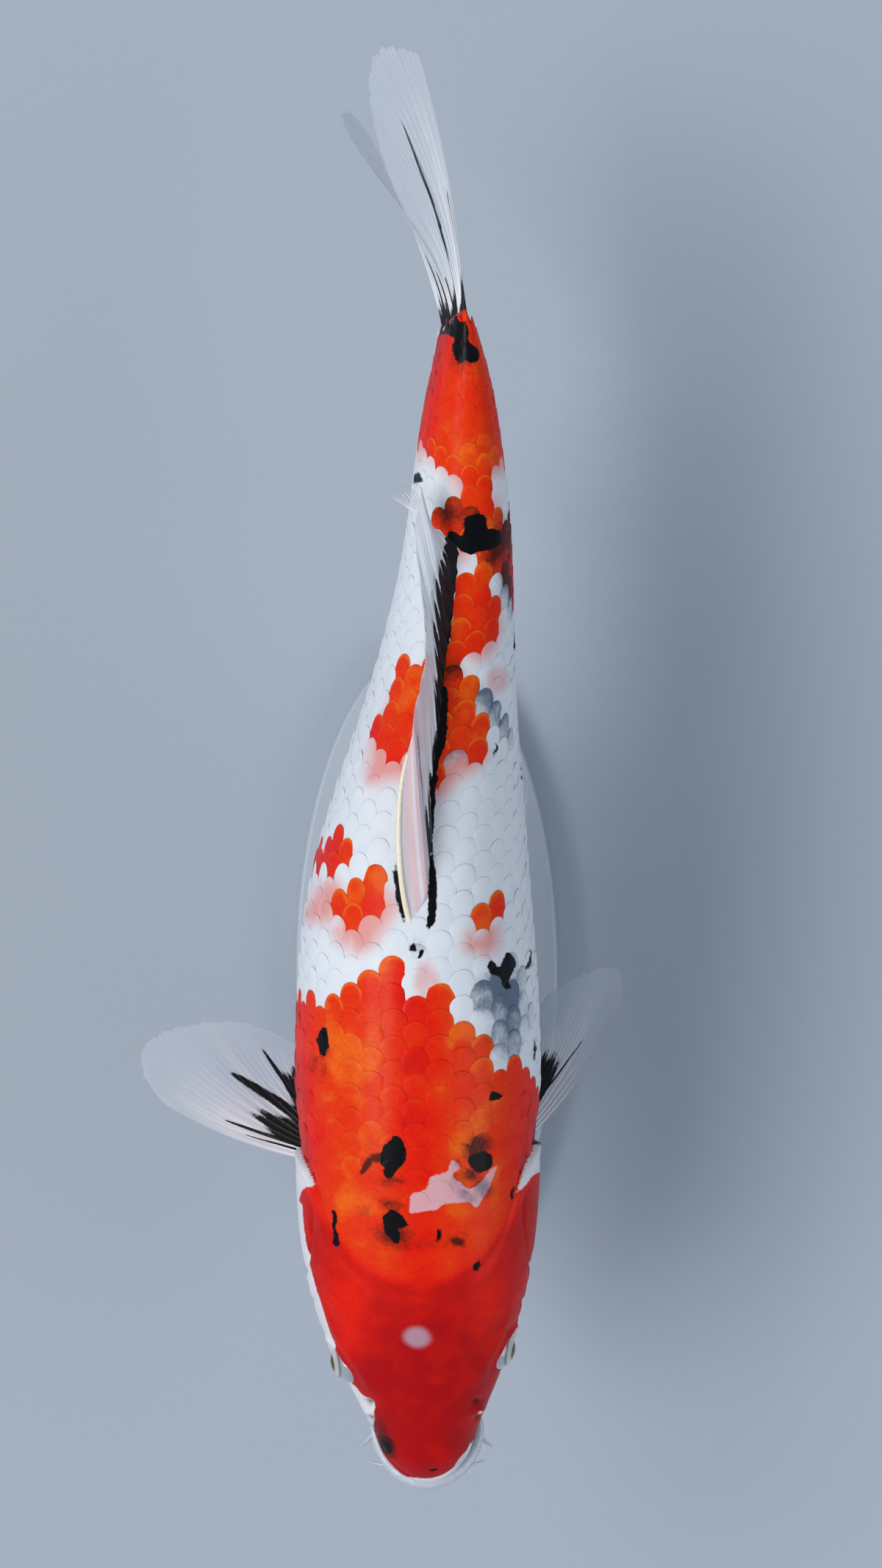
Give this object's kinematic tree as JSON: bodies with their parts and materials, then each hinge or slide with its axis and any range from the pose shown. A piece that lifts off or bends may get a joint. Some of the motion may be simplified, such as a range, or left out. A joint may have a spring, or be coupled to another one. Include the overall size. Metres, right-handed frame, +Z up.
{
  "type": "koi carp model",
  "caption": "Life-size koi carp, white with red and black patches, swimming with a gentle bend, pectoral fins spread, held over a flat base by short rods.",
  "frame": {"origin": "centre of the flat underside of the stand's base", "axes": "+Z up, +Y from the head towards the tail, +X towards the fish's own left side"},
  "size_m": [0.2086, 0.5913, 0.231],
  "materials": {
    "skin": "wet, glossy scaled skin, pearl white with orange-red and black patches and a crimson head",
    "lips": "smooth wet pale skin",
    "fin": "thin, slightly see-through fin skin over fine rays, black streaks at the roots",
    "eye": "clear cornea over a dark pupil and a pale iris",
    "stand_base": "fine satin pale lacquer",
    "stand_rod": "fine brushed steel"
  },
  "bodies": {
    "root": {"head": "skin", "upper_lip": "lips", "lower_jaw": "lips", "gill_cover_left": "skin", "gill_cover_right": "skin", "eye_left": "eye", "eye_right": "eye", "barbel_front_left": "lips", "barbel_front_right": "lips", "barbel_rear_left": "lips", "barbel_rear_right": "lips", "trunk": "skin", "tail_stalk": "skin", "dorsal_fin": "fin", "anal_fin": "fin", "tail_fin_upper": "fin", "tail_fin_lower": "fin", "pectoral_fin_left": "fin", "pectoral_fin_right": "fin", "pelvic_fin_left": "fin", "pelvic_fin_right": "fin", "stand_base": "stand_base", "stand_rod_front": "stand_rod", "stand_rod_rear": "stand_rod"}
  },
  "joints": []
}
